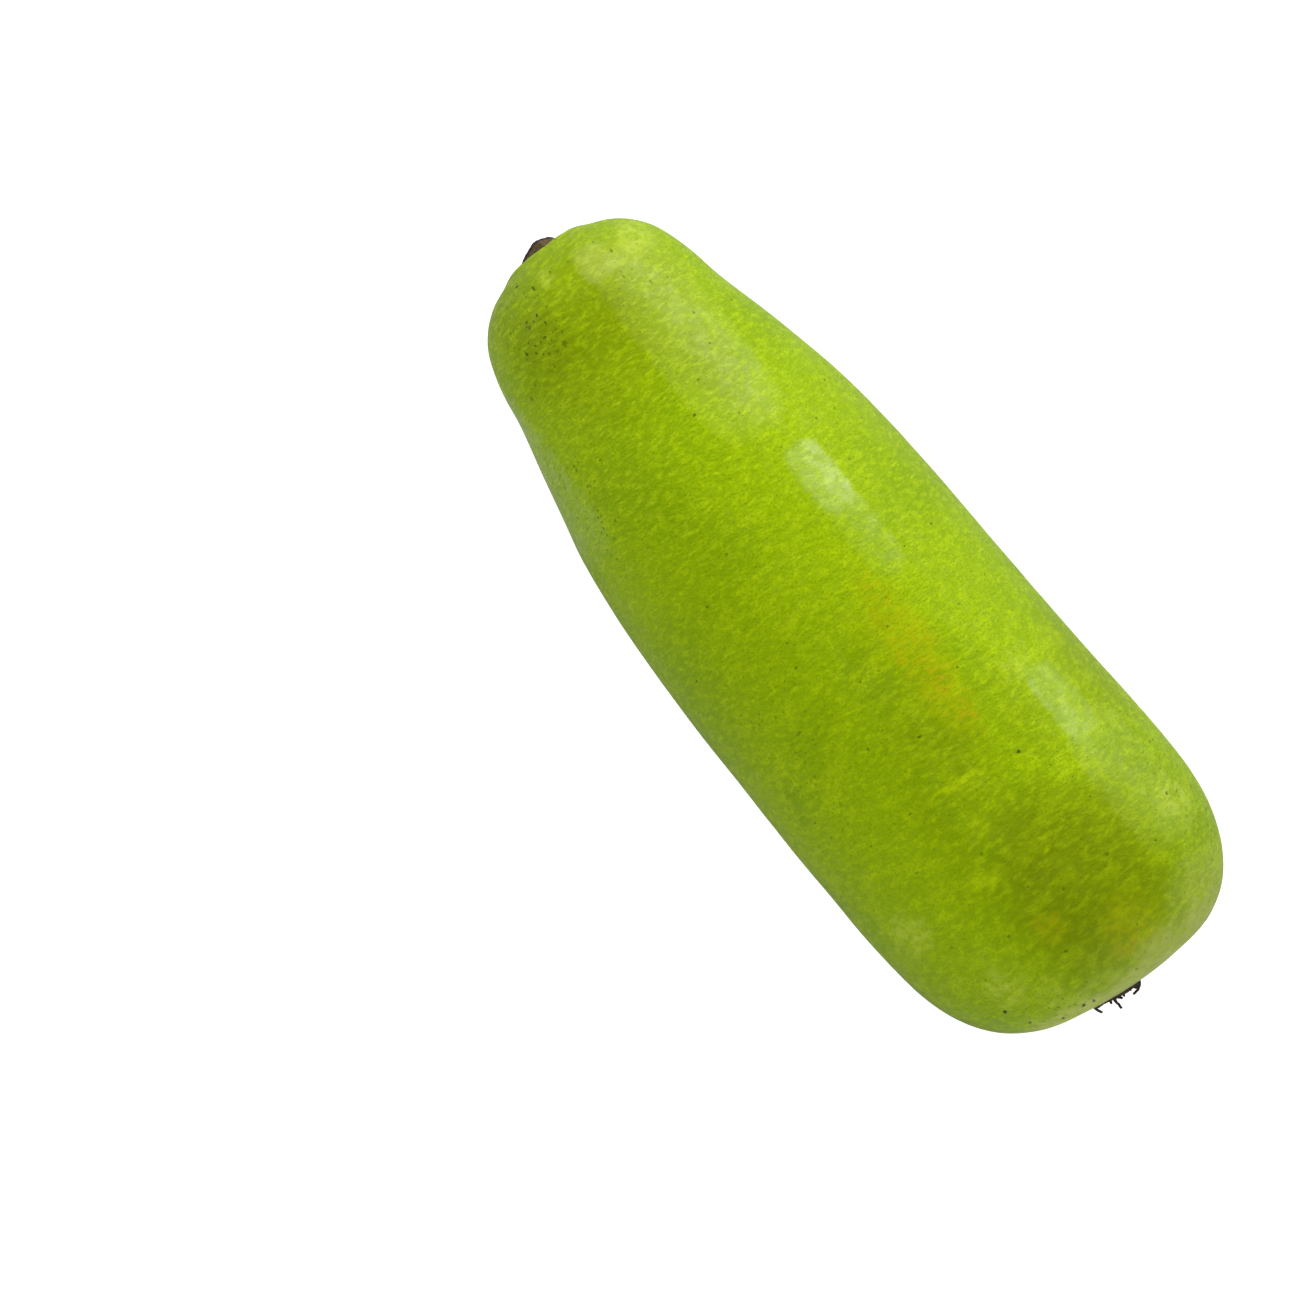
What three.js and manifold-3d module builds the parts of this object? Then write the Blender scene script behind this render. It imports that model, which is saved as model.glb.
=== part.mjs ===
import * as THREE from "three";
import { mergeVertices } from "three/addons/utils/BufferGeometryUtils.js";
import Module from "manifold-3d";

// Bottle gourd as picked, lying on its side. Millimetres, +X from the stem to the blossom end, +Z up.
// Places along the fruit are x on its own axis: 0 is near the crest of the shoulder pads.
// Angles round the fruit are 0 at +Y and 90 degrees at +Z.

// Driving dimensions of the fruit
const BELLY_RADIUS = 49.0;
const NECK_RADIUS = 35.0;
const FRUIT_LENGTH = 258.5;
const SEGMENTS_ROUND = 72;
const RINGS_PER_SPAN = 2.6;

// Meridian from the dimple's wall, over the shoulder, along the neck and belly, to the blossom end: x, radius
const MERIDIAN = [
  [9.2, 9.8],
  [5.2, 9.9],
  [1.5, 10.6],
  [-0.5, 12.4],
  [1.2, 15.6],
  [4.0, 20.0],
  [8.1, 25.1],
  [14.0, 29.3],
  [24.0, 32.6],
  [37.0, NECK_RADIUS],
  [55.0, 39.5],
  [78.0, 44.3],
  [108.0, 47.2],
  [145.0, 48.2],
  [183.0, BELLY_RADIUS - 0.1],
  [211.0, BELLY_RADIUS],
  [232.0, 46.4],
  [246.3, 39.2],
  [254.2, 28.7],
  [257.0, 16.7],
  [258.0, 8.0],
  [FRUIT_LENGTH, 0.0],
];

// The fruit isn't quite round or straight
const FLATNESS = 0.985;
const START_DRIFT = 0.8;
const BELLY_DRIFT = 7.1;
const DRIFT_FROM = 55;
const DRIFT_LENGTH = 190;
const DRIFT_POWER = 2;
const END_TURN = 0.0019;
const END_TURN_FROM = 220;
const LIE_SLOPE = 0.028;
const LUMP = 0.35;
const LUMP_TURNS = 3;
const LUMP_PITCH = 41;

// Creases between the shoulder pads: angle in degrees, depth, how far the line leans, degrees per mm
const CREASES = [
  { angle: 52, depth: 0.3, lean: 0.25 },
  { angle: 85, depth: 0.6, lean: -0.12 },
  { angle: 117, depth: 0.3, lean: 0.2 },
  { angle: 217, depth: 2.6, lean: -0.3 },
  { angle: 263, depth: 2.2, lean: 0.15 },
  { angle: 316, depth: 2.6, lean: -0.2 },
];
const SHARP_SHARE = 0.45;
const CREASE_WIDTH = 1.6;
const CREASE_REACH = [12, 21];
const VALLEY_WIDTH = 6.5;
const VALLEY_REACH = [2, 22];
const NECK_FLUTE = 0.17;
const FLUTE_TURN = 20;
const FLUTE_REACH = [12, 105];

// The shoulder is lower at its two sides than on top
const SIDE_DROP = 1.5;
const SIDE_DROP_REACH = [12, 22];

// Radii and places between which the rind's forms turn from end-on to side-on
const DIMPLE_EDGE = [9.6, 13];
const ROUND_TO_FLAT = [12, 30];
const END_RADII = [14, 30];
const SHOULDER_SPAN = [2, 16];
const LUMP_START = [10, 60];
const LUMP_END = [225, 256];
const SIDE_CREASE_SHARE = 0.9;

// The stub of the stem stands in a socket in the dimple
const STUB_BASE_RADIUS = 9.3;
const STUB_CUT_RADIUS = 6.1;
const STUB_PROUD = 3.1;
const SOCKET_FLOOR = 13.0;
const SOCKET_RADIUS = 9.6;
const SOCKET_LIP = 10.2;
const FIT_GAP = 0.3;
const STUB_RIBS = 5;
const STUB_RIB_HEIGHT = 0.45;
const STUB_LEAN = [-0.12, 0.07];
const STUB_RIB_TURN = 0.9;
const STUB_FREE = [4, 9];
const CALLUS_HEIGHT = 0.3;
const CUT_FACE = [-2.7, -1.6];
const CUT_RIDGE = 1.2;
const RIDGE_HALF_WIDTH = 0.6;
const CUT_SLOPE = 0.4;
const CUT_SLOPE_REACH = [-1.5, 6];

// The dry scar of the flower, in a shallow seat that follows the tilt of the end
const SCAR_RADIUS = 7.5;
const SCAR_PLACE = [257.2, 0.3, 6.5];
const SCAR_TURN = THREE.MathUtils.degToRad(-9.5);
const SCAR_LIFT = THREE.MathUtils.degToRad(4.5);
const SEAT_DEPTH = 1.6;
const SCAR_PROUD = 0.5;
const RAGGED_HEIGHT = 0.2;
const RAGGED_TURNS = 7;

// Its withered threads: root towards +Y, root up, length, curl in turns, and the side it curls to,
// in degrees from +Y upwards
const THREADS = [
  [7.0, 0.6, 4.2, 0.27, 180],
  [4.8, 2.2, 1.9, 0.18, 20],
  [1.3, 3.2, 2.0, 0.08, 10],
  [0.3, 2.4, 1.5, 0.12, 200],
  [-1.2, 1.8, 4.4, 0.05, 20],
  [-0.4, 1.2, 2.7, 0.16, 0],
  [-6.8, 0.6, 3.4, 0.09, 5],
  [5.0, -2.6, 1.8, 0.2, 200],
  [2.0, -5.2, 1.6, 0.15, 250],
  [-1.5, -5.7, 2.4, 0.12, 160],
  [-5.0, -3.6, 1.8, 0.18, 170],
  [-3.6, 4.4, 1.0, 0.1, 120],
];
const THREAD_ROOT_RADIUS = 0.65;
const THREAD_TIP_RADIUS = 0.36;
const THREAD_SUNK = 0.5;

// The flat spot that it rests on
const FLAT_DEPTH = 0.6;

const RIND = new THREE.MeshStandardMaterial({ color: 0x8ea81c, roughness: 0.42, metalness: 0 });
const STEM_FINISH = new THREE.MeshStandardMaterial({ color: 0x5f4532, roughness: 0.8, metalness: 0 });
const REMNANT_FINISH = new THREE.MeshStandardMaterial({ color: 0x463a36, roughness: 0.9, metalness: 0 });

const { degToRad, smoothstep, lerp } = THREE.MathUtils;
const UP = new THREE.Vector3(0, 0, 1);

const wasm = await Module();
wasm.setup();

// A closed three.js geometry as a manifold solid, and back
function solidOf(geometry) {
  const bare = geometry.clone();
  bare.deleteAttribute("normal");
  bare.deleteAttribute("uv");
  const merged = mergeVertices(bare, 1e-4);
  return new wasm.Manifold(
    new wasm.Mesh({
      numProp: 3,
      vertProperties: new Float32Array(merged.attributes.position.array),
      triVerts: new Uint32Array(merged.index.array),
    }),
  );
}

function geometryOf(solid) {
  const mesh = solid.getMesh();
  const geometry = new THREE.BufferGeometry();
  geometry.setAttribute("position", new THREE.BufferAttribute(new Float32Array(mesh.vertProperties), 3));
  geometry.setIndex(new THREE.BufferAttribute(new Uint32Array(mesh.triVerts), 1));
  geometry.computeVertexNormals();
  return geometry;
}

// Place and heading of the centreline at x: straight at the neck, drifting at the belly, turned at the end
function centreline(x) {
  const share = Math.max(0, x - DRIFT_FROM) / DRIFT_LENGTH;
  const beyond = Math.max(0, x - END_TURN_FROM);
  const drift = START_DRIFT + BELLY_DRIFT * share ** DRIFT_POWER;
  const heading = ((DRIFT_POWER * BELLY_DRIFT) / DRIFT_LENGTH) * share ** (DRIFT_POWER - 1);
  return {
    y: drift - END_TURN * beyond ** 2,
    z: LIE_SLOPE * x,
    slope: heading - 2 * END_TURN * beyond,
  };
}

// A point at a distance from the centreline, at an angle round it. The dimple stays round.
function placed(x, radius, angle) {
  const centre = centreline(x);
  const across = radius * Math.cos(angle);
  const squash = lerp(1, FLATNESS, smoothstep(radius, ...ROUND_TO_FLAT));
  return new THREE.Vector3(
    x - across * centre.slope,
    centre.y + across,
    centre.z + radius * Math.sin(angle) * squash,
  );
}

// Turns a profile round the X axis: LatheGeometry's Y axis becomes X, and place sends each vertex on
function turned(profile, segments, place) {
  const lathe = new THREE.LatheGeometry(
    profile.map(([x, radius]) => new THREE.Vector2(radius, x)),
    segments,
  );
  const position = lathe.attributes.position;
  for (let i = 0; i < position.count; i++) {
    const x = position.getY(i);
    const radius = Math.hypot(position.getX(i), position.getZ(i));
    const angle = Math.atan2(position.getX(i), position.getZ(i));
    const p = place(x, radius, angle);
    position.setXYZ(i, p.x, p.y, p.z);
  }
  return lathe;
}

// Smallest turn from one angle to another
function turnBetween(a, b) {
  return Math.atan2(Math.sin(a - b), Math.cos(a - b));
}

// How deep the creases and the long soft flutes below them cut in at a point of the rind
function creaseDepth(x, radius, angle) {
  const onShoulder = (1 - smoothstep(x, ...VALLEY_REACH)) * smoothstep(radius, ...DIMPLE_EDGE);
  const onCrest = 1 - smoothstep(radius, ...CREASE_REACH);
  const onNeck = (1 - smoothstep(x, ...FLUTE_REACH)) * smoothstep(radius, ...ROUND_TO_FLAT);
  let depth = 0;
  for (const crease of CREASES) {
    const turn = turnBetween(angle, degToRad(crease.angle + crease.lean * x));
    const distance = Math.abs(turn) * radius;
    const sharp = onCrest * Math.exp(-distance / CREASE_WIDTH);
    const valley = Math.exp(-((distance / VALLEY_WIDTH) ** 2));
    const flute = Math.exp(-((turn / degToRad(FLUTE_TURN)) ** 2));
    depth += crease.depth * onShoulder * lerp(valley, sharp, SHARP_SHARE);
    depth += crease.depth * onNeck * NECK_FLUTE * flute;
  }
  return depth;
}

// The rind's surface: creases lower the shoulder along x at the crest and towards the centreline on the neck
function rindPoint(x, radius, angle) {
  const depth = creaseDepth(x, radius, angle);
  const sideOn = smoothstep(radius, ...END_RADII) * smoothstep(x, ...SHOULDER_SPAN);
  const atCrest = smoothstep(radius, ...DIMPLE_EDGE) * (1 - smoothstep(radius, ...SIDE_DROP_REACH));
  const dropped = x < SIDE_DROP_REACH[1] ? SIDE_DROP * Math.cos(angle) ** 4 * atCrest : 0;
  const onBody = smoothstep(x, ...LUMP_START) * (1 - smoothstep(x, ...LUMP_END));
  const lump = LUMP * onBody * Math.sin(LUMP_TURNS * angle + x / LUMP_PITCH);
  const inset = x + depth * (1 - sideOn) + dropped;
  return placed(inset, radius - depth * sideOn * SIDE_CREASE_SHARE + lump, angle);
}

function rindProfile() {
  const spline = new THREE.SplineCurve(MERIDIAN.map(([x, radius]) => new THREE.Vector2(x, radius)));
  const count = Math.round((MERIDIAN.length - 1) * RINGS_PER_SPAN);
  const skin = spline.getPoints(count).map((p) => [p.x, Math.max(0, p.y)]);
  skin[skin.length - 1][1] = 0;
  return [[SOCKET_FLOOR, 0], [SOCKET_FLOOR, SOCKET_RADIUS], [SOCKET_LIP, SOCKET_RADIUS], ...skin];
}

// Where the scar sits, a little above the middle of the end: its X is sideways, its Y up, its Z outward
function scarFrame() {
  const outward = new THREE.Vector3(
    Math.cos(SCAR_LIFT) * Math.cos(SCAR_TURN),
    Math.cos(SCAR_LIFT) * Math.sin(SCAR_TURN),
    Math.sin(SCAR_LIFT),
  );
  const sideways = new THREE.Vector3().crossVectors(UP, outward).normalize();
  const upwards = new THREE.Vector3().crossVectors(outward, sideways);
  const [x, y, above] = SCAR_PLACE;
  return new THREE.Matrix4().makeBasis(sideways, upwards, outward).setPosition(x, y, centreline(x).z + above);
}

function gourdBody() {
  let body = solidOf(turned(rindProfile(), SEGMENTS_ROUND, rindPoint));
  const seatHeight = 20;
  const seat = new THREE.CylinderGeometry(SCAR_RADIUS + FIT_GAP, SCAR_RADIUS + FIT_GAP, seatHeight, 32);
  seat.rotateX(Math.PI / 2);
  seat.translate(0, 0, seatHeight / 2 - SEAT_DEPTH);
  seat.applyMatrix4(scarFrame());
  body = body.subtract(solidOf(seat));
  const lowest = body.boundingBox().min[2];
  const blockHeight = 20;
  const block = new THREE.BoxGeometry(4 * FRUIT_LENGTH, 4 * BELLY_RADIUS, blockHeight);
  block.translate(0, 0, lowest + FLAT_DEPTH - blockHeight / 2);
  return geometryOf(body.subtract(solidOf(block)));
}

// The stub: round in its socket, flared and ribbed above it. Its callused cut face slopes from a ridge.
function stemStub() {
  const profile = [
    [SOCKET_FLOOR - FIT_GAP, 0],
    [SOCKET_FLOOR - FIT_GAP, STUB_BASE_RADIUS],
    [9.4, STUB_BASE_RADIUS],
    [7.6, 8.7],
    [5.0, 7.7],
    [2.0, 6.95],
    [-0.8, STUB_CUT_RADIUS],
    [-2.0, STUB_CUT_RADIUS - 0.1],
    [-STUB_PROUD + 0.3, STUB_CUT_RADIUS - 0.7],
    [-STUB_PROUD, STUB_CUT_RADIUS - 1.6],
    [-STUB_PROUD + 0.5, 3.2],
    [-STUB_PROUD + 0.3, 1.6],
    [-STUB_PROUD + 0.5, 0],
  ];
  return turned(profile.reverse(), 40, (x, radius, angle) => {
    const above = 1 - smoothstep(x, ...STUB_FREE);
    const ribbed = Math.cos(STUB_RIBS * angle + STUB_RIB_TURN) * (radius / STUB_CUT_RADIUS);
    const rib = STUB_RIB_HEIGHT * above * ribbed;
    const callus = CALLUS_HEIGHT * Math.sin(3 * angle + radius) * smoothstep(radius, 0, 2);
    const onCut = 1 - smoothstep(x, ...CUT_FACE);
    const fromRidge = Math.max(0, Math.abs(radius * Math.cos(angle) - CUT_RIDGE) - RIDGE_HALF_WIDTH);
    const sloped = CUT_SLOPE * fromRidge * (1 - smoothstep(x, ...CUT_SLOPE_REACH));
    const free = Math.max(0, STUB_FREE[1] - x);
    const point = placed(x + callus * onCut + sloped, radius + rib, angle);
    return point.add(new THREE.Vector3(0, STUB_LEAN[0] * free, STUB_LEAN[1] * free));
  });
}

// One withered thread: a tapered rod bent along an arc, its root at the origin and its length along Z
function thread(length, curl) {
  const rod = new THREE.CylinderGeometry(THREAD_TIP_RADIUS, THREAD_ROOT_RADIUS, length, 6, 5);
  rod.translate(0, length / 2, 0);
  rod.rotateX(Math.PI / 2);
  const position = rod.attributes.position;
  for (let i = 0; i < position.count; i++) {
    const angle = (position.getZ(i) / length) * curl;
    const arm = length / curl - position.getX(i);
    position.setXYZ(i, length / curl - arm * Math.cos(angle), position.getY(i), arm * Math.sin(angle));
  }
  return rod;
}

// The scar's ragged disc with the threads sunk into it
function blossomRemnant() {
  const underside = -SEAT_DEPTH + FIT_GAP;
  const profile = [
    [underside, 0],
    [underside, SCAR_RADIUS],
    [0.1, SCAR_RADIUS],
    [SCAR_PROUD, SCAR_RADIUS - 0.5],
    [SCAR_PROUD + 0.2, SCAR_RADIUS - 1.2],
    [0.1, SCAR_RADIUS - 2.8],
    [0, 2.9],
    [SCAR_PROUD + 0.3, 1.6],
    [SCAR_PROUD + 0.1, 0],
  ];
  const disc = turned(profile, 40, (height, radius, angle) => {
    const above = smoothstep(height, -0.1, SCAR_PROUD) * smoothstep(radius, 1, 4);
    const ragged = RAGGED_HEIGHT * above * Math.sin(RAGGED_TURNS * angle);
    return new THREE.Vector3(radius * Math.cos(angle), radius * Math.sin(angle), height + ragged);
  });
  let remnant = solidOf(disc);
  for (const [side, up, length, curl, heading] of THREADS) {
    const piece = thread(length, curl * 2 * Math.PI);
    piece.rotateZ(degToRad(heading));
    piece.translate(side, up, -THREAD_SUNK);
    remnant = remnant.add(solidOf(piece));
  }
  const geometry = geometryOf(remnant);
  geometry.applyMatrix4(scarFrame());
  return geometry;
}

function named(name, geometry, material) {
  const mesh = new THREE.Mesh(geometry, material);
  mesh.name = name;
  return mesh;
}

const gourd = new THREE.Group();
gourd.add(named("gourd_body", gourdBody(), RIND));
gourd.add(named("stem_stub", stemStub(), STEM_FINISH));
gourd.add(named("blossom_remnant", blossomRemnant(), REMNANT_FINISH));

// The origin is the middle of the footprint, on the surface that the gourd lies on
const box = new THREE.Box3().setFromObject(gourd, true);
const middle = box.getCenter(new THREE.Vector3());
gourd.position.set(-middle.x, -middle.y, -box.min.z);

export default gourd;
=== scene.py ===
import math

import bpy
from mathutils import Matrix, Vector


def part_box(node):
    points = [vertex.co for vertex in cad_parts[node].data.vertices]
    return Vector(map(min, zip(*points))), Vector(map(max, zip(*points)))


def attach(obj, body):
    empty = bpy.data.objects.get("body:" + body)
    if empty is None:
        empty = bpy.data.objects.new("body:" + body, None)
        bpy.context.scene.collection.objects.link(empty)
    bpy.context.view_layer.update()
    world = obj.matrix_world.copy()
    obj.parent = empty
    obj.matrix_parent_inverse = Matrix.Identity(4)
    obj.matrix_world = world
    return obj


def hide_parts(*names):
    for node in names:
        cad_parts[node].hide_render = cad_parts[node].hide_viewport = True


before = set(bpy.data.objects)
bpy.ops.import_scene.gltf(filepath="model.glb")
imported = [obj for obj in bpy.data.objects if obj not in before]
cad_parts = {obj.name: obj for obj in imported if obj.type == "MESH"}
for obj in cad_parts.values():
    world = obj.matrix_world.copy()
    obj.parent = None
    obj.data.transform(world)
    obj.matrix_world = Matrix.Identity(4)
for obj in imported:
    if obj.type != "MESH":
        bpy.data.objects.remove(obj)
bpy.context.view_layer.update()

# Sizes are in millimetres until MM takes them to metres.
# Along the fruit, x is counted from the crest of the shoulder pads.
# Round it, the angle is 0 at +Y and 90 at +Z.
# A pair named REACH or FADE holds the two places between which something grows or dies away.
# A row named NOISE holds its scale, detail and roughness.
MM = 0.001

# The fruit's meridian, from the floor of the dimple over the shoulder to the blossom end: x, radius
NECK_RADIUS = 35.0
BELLY_RADIUS = 49.0
FRUIT_LENGTH = 258.5
MERIDIAN = [
    (9.4, 0.0),
    (9.4, 5.0),
    (9.2, 9.8),
    (5.2, 9.9),
    (1.5, 10.6),
    (-0.5, 12.4),
    (1.2, 15.6),
    (4.0, 20.0),
    (8.1, 25.1),
    (14.0, 29.3),
    (24.0, 32.6),
    (37.0, NECK_RADIUS),
    (55.0, 39.5),
    (78.0, 44.3),
    (108.0, 47.2),
    (145.0, 48.2),
    (183.0, BELLY_RADIUS - 0.1),
    (211.0, BELLY_RADIUS),
    (232.0, 46.4),
    (246.3, 39.2),
    (254.2, 28.7),
    (257.0, 16.7),
    (258.0, 8.0),
    (FRUIT_LENGTH, 0.0),
]

# Its centreline and section
FLATNESS = 0.985
FLATNESS_FADE = (12, 30)
START_DRIFT = 0.8
BELLY_DRIFT = 7.1
DRIFT_FROM = 55
DRIFT_LENGTH = 190
DRIFT_POWER = 2.0
END_TURN = 0.0019
END_TURN_FROM = 220
LIE_SLOPE = 0.028

# Low lumps that wind round it, and soft dents and ripples in the rind
LUMP = 0.35
LUMP_TURNS = 3
LUMP_PITCH = 41
LUMP_REACH = (10, 60)
LUMP_FADE = (225, 256)
DENT_HEIGHT = 0.7
DENT_NOISE = (38.0, 1.5, 0.45)
RIPPLE_HEIGHT = 0.1
RIPPLE_NOISE = (150.0, 1.0, 0.5)
SKIN_REACH = (9.8, 16)

# Creases between the shoulder pads: angle in degrees, depth, lean in degrees per millimetre
CREASES = [
    (52, 0.3, 0.25),
    (85, 0.6, -0.12),
    (117, 0.3, 0.2),
    (217, 2.6, -0.3),
    (263, 2.2, 0.15),
    (316, 2.6, -0.2),
]
CREASE_WIDTH = 1.6
CREASE_FADE = (12, 21)
CREASE_SHARPNESS = 0.45
VALLEY_WIDTH = 6.5
VALLEY_FADE = (2, 22)
LIP_REACH = (9.6, 13)
# From the first radius and x to the second, a crease stops cutting into the face of the shoulder
# and cuts into its side instead
SIDE_ON_RADIUS_REACH = (14, 30)
SIDE_ON_REACH = (2, 16)
SIDE_ON_DEPTH = 0.9
# The shoulder is this much lower at its two sides than on top
SIDE_DROP = 1.5
SIDE_DROP_POWER = 4.0
SIDE_DROP_FADE = (12, 22)
SIDE_DROP_END_FADE = (20, 40)
# A soft flute goes on from each crease along the neck
FLUTE_SHARE = 0.5 / 3
FLUTE_TURN = 20
FLUTE_FADE = (12, 105)
FLUTE_REACH = (12, 30)

# The stub of the stem
SOCKET_FLOOR = 13.0
FIT_GAP = 0.3
STUB_BASE_TOP = 9.4
STUB_BASE_RADIUS = 9.3
STUB_CUT_RADIUS = 6.1
STUB_PROUD = 3.1
STUB_RIBS = 5
STUB_RIB_HEIGHT = 0.45
STUB_RIB_START = 0.9
# Between these the stub comes free of its socket, and its ribs and lean begin
STUB_FREE_FADE = (4, 9)
STUB_LEAN = (-0.12, 0.07)
CUT_FACE_FADE = (-2.7, -1.6)
# The cut face slopes down to both sides of a ridge
CUT_RIDGE = 1.2
CUT_CREST = 0.6
CUT_SLOPE = 0.4
CUT_FAR_SLOPE = 0.24
CUT_SLOPE_FADE = (-1.5, 6)
CALLUS_HEIGHT = 0.9
CALLUS_NOISE = (0.42, 3.0, 0.65)
CALLUS_DISTORTION = 0.8
GRAIN_HEIGHT = 0.12
GRAIN_STRETCH = (0.25, 1.0, 1.0)
GRAIN_NOISE = (1.1, 2.0, 0.5)
RAGGED_EDGE = 0.9
RAGGED_EDGE_NOISE = (0.3, 2.0, 0.5)

# The scar of the flower
SCAR_RADIUS = 7.5
SCAR_PLACE = (257.2, 0.3, 6.5)
SCAR_TURN = math.radians(-9.5)
SCAR_LIFT = math.radians(4.5)
SCAR_PROUD = 0.5
SCAR_REACH = (-0.3, 0.4)
SCAR_HEIGHT = 1.3
SCAR_NOISE = (0.55, 3.0, 0.6)
SCAR_OUTLINE = 0.3
SCAR_OUTLINE_NOISE = (0.3, 2.0, 0.5)

# Its withered threads: towards +Y, up, length, curl in turns,
# and the side to which they curl, in degrees from +Y upwards
THREADS = [
    (7.0, 0.6, 4.2, 0.27, 180),
    (4.8, 2.2, 1.9, 0.18, 20),
    (1.3, 3.2, 2.0, 0.08, 10),
    (0.3, 2.4, 1.5, 0.12, 200),
    (-1.2, 1.8, 4.4, 0.05, 20),
    (-0.4, 1.2, 2.7, 0.16, 0),
    (-6.8, 0.6, 3.4, 0.09, 5),
    (5.0, -2.6, 1.8, 0.20, 200),
    (2.0, -5.2, 1.6, 0.15, 250),
    (-1.5, -5.7, 2.4, 0.12, 160),
    (-5.0, -3.6, 1.8, 0.18, 170),
    (-3.6, 4.4, 1.0, 0.10, 120),
]
THREAD_ROOT_RADIUS = 0.75
THREAD_TIP_RADIUS = 0.38
THREAD_TAPER_REACH = (0, 0.6)
THREAD_ROOT_LEVEL = -0.4
THREAD_POINTS = 18
THREAD_SIDES = 9
THREAD_WAVINESS = 0.25
THREAD_WAVES = 0.9

# How finely the surfaces are made
RIND_RINGS = 330
RIND_SEGMENTS = 286
STUB_RINGS = 130
STUB_SEGMENTS = 150
SCAR_RINGS = 90
SCAR_SEGMENTS = 130
RIND_CROWDING = 0.6
WELD = 0.01


def fruit_origin():
    """Where x = 0 of the centreline's level lies in the frame, from the round base of the stem stub."""
    low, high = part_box("stem_stub")
    base_x = SOCKET_FLOOR - FIT_GAP
    return Vector((
        high.x - base_x * MM,
        (low.y + high.y) / 2 - START_DRIFT * MM,
        (low.z + high.z) / 2 - LIE_SLOPE * (base_x + STUB_BASE_TOP) / 2 * MM,
    ))


ORIGIN = fruit_origin()


def direction(heading, height):
    """The direction at a heading from +X towards +Y and a height above the level, both in radians."""
    level = math.cos(height)
    return Vector((level * math.cos(heading), level * math.sin(heading), math.sin(height)))


class Term:
    """A node's output that takes part in sums like a number."""

    def __init__(self, net, socket):
        self.net = net
        self.socket = socket

    def __add__(self, other):
        return self.net.math("ADD", self, other)

    def __radd__(self, other):
        return self.net.math("ADD", other, self)

    def __sub__(self, other):
        return self.net.math("SUBTRACT", self, other)

    def __rsub__(self, other):
        return self.net.math("SUBTRACT", other, self)

    def __mul__(self, other):
        return self.net.math("MULTIPLY", self, other)

    def __rmul__(self, other):
        return self.net.math("MULTIPLY", other, self)

    def __truediv__(self, other):
        return self.net.math("DIVIDE", self, other)

    def __rtruediv__(self, other):
        return self.net.math("DIVIDE", other, self)

    def __pow__(self, other):
        return self.net.math("POWER", self, other)

    def __neg__(self):
        return self.net.math("MULTIPLY", self, -1)


class Net:
    """Writes a node tree, for geometry or for a material, from plain function calls."""

    def __init__(self, tree):
        self.tree = tree

    def node(self, kind, inputs=None, **settings):
        made = self.tree.nodes.new(kind)
        for name, value in settings.items():
            setattr(made, name, value)
        for socket, value in (inputs or {}).items():
            self.plug(made.inputs[socket], value)
        return made

    def plug(self, socket, value):
        if isinstance(value, Term):
            self.tree.links.new(value.socket, socket)
        elif isinstance(value, bpy.types.NodeSocket):
            self.tree.links.new(value, socket)
        else:
            socket.default_value = value

    def term(self, node, output=0):
        return Term(self, node.outputs[output])

    def math(self, operation, *values):
        return self.term(self.node("ShaderNodeMath", dict(enumerate(values)), operation=operation))

    def vector(self, operation, *values):
        made = self.node("ShaderNodeVectorMath", dict(enumerate(values)), operation=operation)
        return self.term(made)

    def scaled(self, vector, factor):
        made = self.node("ShaderNodeVectorMath", {0: vector, "Scale": factor}, operation="SCALE")
        return self.term(made)

    def combine(self, x, y, z):
        return self.term(self.node("ShaderNodeCombineXYZ", {0: x, 1: y, 2: z}))

    def split(self, vector):
        made = self.node("ShaderNodeSeparateXYZ", {0: vector})
        return [self.term(made, i) for i in range(3)]

    def ramp(self, value, low, high, start=0.0, end=1.0):
        """A smooth step: start up to low, end from high on."""
        inputs = {"Value": value, "From Min": low, "From Max": high, "To Min": start, "To Max": end}
        return self.term(self.node("ShaderNodeMapRange", inputs, interpolation_type="SMOOTHSTEP"))

    def fade(self, value, low, high):
        """A smooth step down: 1 up to low, 0 from high on."""
        return self.ramp(value, low, high, 1.0, 0.0)

    def sin(self, value):
        return self.math("SINE", value)

    def cos(self, value):
        return self.math("COSINE", value)

    def exp(self, value):
        return self.math("EXPONENT", value)

    def blend(self, share, colour, other):
        """A colour with a share of another."""
        made = self.node("ShaderNodeMix", data_type="RGBA")
        self.plug(made.inputs["Factor"], share)
        self.plug(made.inputs[6], colour)
        self.plug(made.inputs[7], other)
        return self.term(made, 2)

    def noise(self, vector, scale, detail, roughness, distortion=0.0):
        inputs = {"Vector": vector, "Scale": scale, "Detail": detail, "Roughness": roughness}
        inputs["Distortion"] = distortion
        return self.term(self.node("ShaderNodeTexNoise", inputs))

    def relief(self, vector, row, distortion=0.0):
        """Noise about zero, by a row named NOISE."""
        return self.noise(vector, *row, distortion) - 0.5

    def stray(self, vector, scale, detail, roughness=0.5):
        """Noise about zero in each direction."""
        inputs = {"Vector": vector, "Scale": scale, "Detail": detail, "Roughness": roughness}
        made = self.node("ShaderNodeTexNoise", inputs)
        return self.vector("SUBTRACT", self.term(made, "Color"), (0.5, 0.5, 0.5))

    def attribute(self, name):
        """A number that a geometry tree has left on the mesh."""
        return self.term(self.node("ShaderNodeAttribute", attribute_name=name), "Fac")

    def surface_place(self):
        """The place of the surface, in millimetres."""
        return self.scaled(self.term(self.node("ShaderNodeTexCoord"), "Object"), 1 / MM)


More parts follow.
